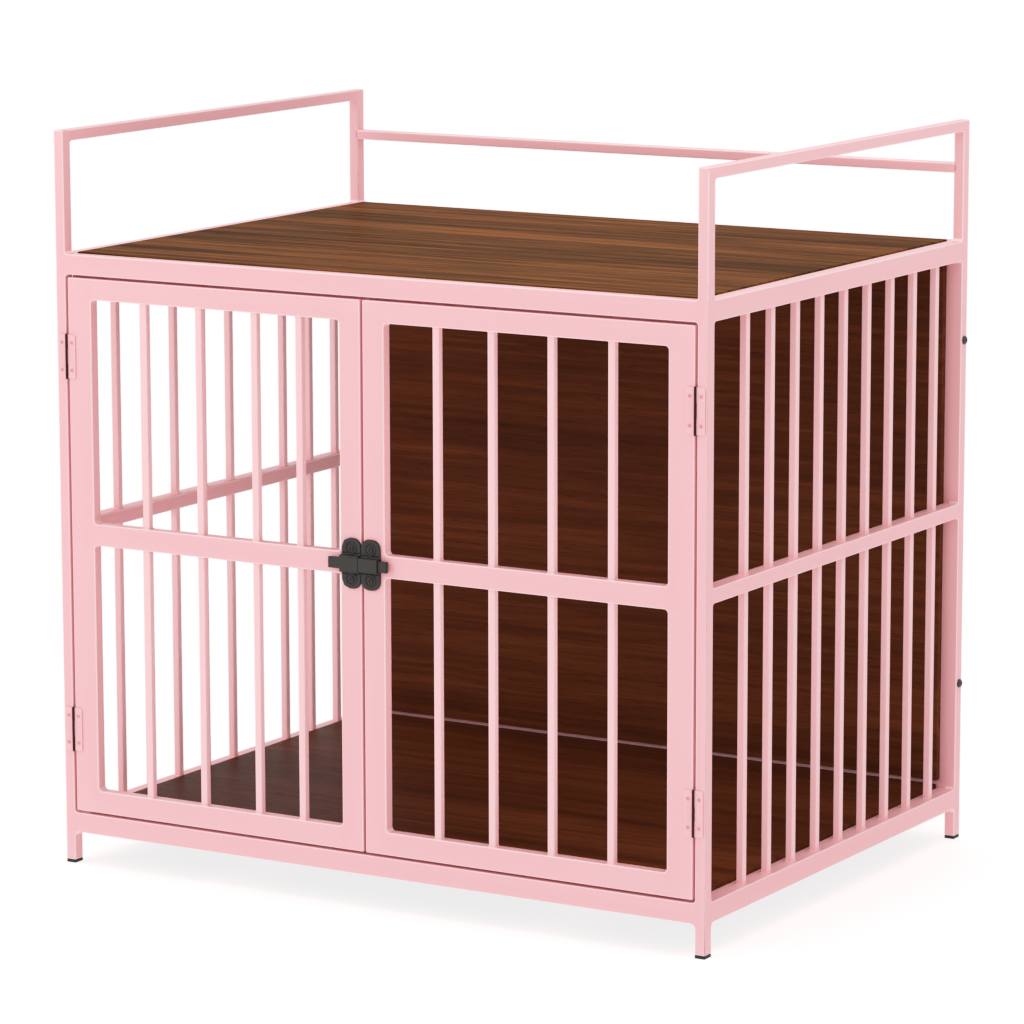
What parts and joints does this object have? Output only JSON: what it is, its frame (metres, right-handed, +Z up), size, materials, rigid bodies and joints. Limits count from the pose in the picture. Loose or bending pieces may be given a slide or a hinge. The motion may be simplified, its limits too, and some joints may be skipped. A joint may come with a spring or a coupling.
{
  "type": "dog crate",
  "caption": "Furniture-style dog crate: welded square-tube frame with barred sides and doors, wood-look top, floor and back panels, and a guard rail round the top.",
  "frame": {"origin": "on the ground, under the middle of the crate's overall box", "axes": "+X to the right seen from the front, +Y to the back, +Z up; the doors are on the -Y side"},
  "size_m": [0.8056, 0.6086, 0.808],
  "materials": {
    "pink_steel": "satin powder coat",
    "walnut_board": "semi-gloss laminate",
    "black_casting": "matt black coat",
    "black_bolt": "black oxide",
    "black_plastic": "matt",
    "zinc_steel": "zinc plated",
    "pin_steel": "dull"
  },
  "bodies": {
    "root": {"left_front_post": "pink_steel", "right_front_post": "pink_steel", "left_rear_post": "pink_steel", "right_rear_post": "pink_steel", "left_guard_rail": "pink_steel", "right_guard_rail": "pink_steel", "rear_guard_rail": "pink_steel", "front_top_rail": "pink_steel", "rear_top_rail": "pink_steel", "left_top_rail": "pink_steel", "right_top_rail": "pink_steel", "door_stop": "pink_steel", "front_bottom_rail": "pink_steel", "rear_bottom_rail": "pink_steel", "left_bottom_rail": "pink_steel", "right_bottom_rail": "pink_steel", "left_mid_rail": "pink_steel", "right_mid_rail": "pink_steel", "left_side_bars": "pink_steel", "right_side_bars": "pink_steel", "left_back_stile": "pink_steel", "right_back_stile": "pink_steel", "top_panel": "walnut_board", "floor_panel": "walnut_board", "back_panel": "walnut_board", "top_carriers": "pink_steel", "floor_carriers": "pink_steel", "top_screws": "zinc_steel", "floor_screws": "zinc_steel", "back_screws": "zinc_steel", "frame_bolts": "black_bolt", "feet": "black_plastic", "left_post_hinge_leaves": "pink_steel", "right_post_hinge_leaves": "pink_steel", "left_hinge_pins": "pin_steel", "right_hinge_pins": "pin_steel", "post_hinge_screws": "zinc_steel"},
    "left_door": {"left_door_hinge_stile": "pink_steel", "left_door_lock_stile": "pink_steel", "left_door_top_rail": "pink_steel", "left_door_mid_rail": "pink_steel", "left_door_bottom_rail": "pink_steel", "left_door_bars": "pink_steel", "left_door_hinge_leaves": "pink_steel", "left_door_hinge_screws": "zinc_steel", "latch_plate": "black_casting", "latch_plate_screws": "black_casting"},
    "right_door": {"right_door_hinge_stile": "pink_steel", "right_door_lock_stile": "pink_steel", "right_door_top_rail": "pink_steel", "right_door_mid_rail": "pink_steel", "right_door_bottom_rail": "pink_steel", "right_door_bars": "pink_steel", "right_door_hinge_leaves": "pink_steel", "right_door_hinge_screws": "zinc_steel", "latch_keeper": "black_casting", "latch_keeper_screws": "black_casting"},
    "bolt": {"latch_bolt": "black_casting"}
  },
  "joints": [
    {"name": "left_door_swing", "type": "hinge", "parent": "root", "child": "left_door", "pos_m": [-0.3865, -0.29725, 0.1515], "axis": [0, 0, -1], "range_deg": [0, 170]},
    {"name": "right_door_swing", "type": "hinge", "parent": "root", "child": "right_door", "pos_m": [0.3865, -0.29725, 0.1515], "axis": [0, 0, 1], "range_deg": [0, 170]},
    {"name": "bolt_slide", "type": "slide", "parent": "left_door", "child": "bolt", "axis": [1, 0, 0], "range_m": [0, 0.012]}
  ]
}
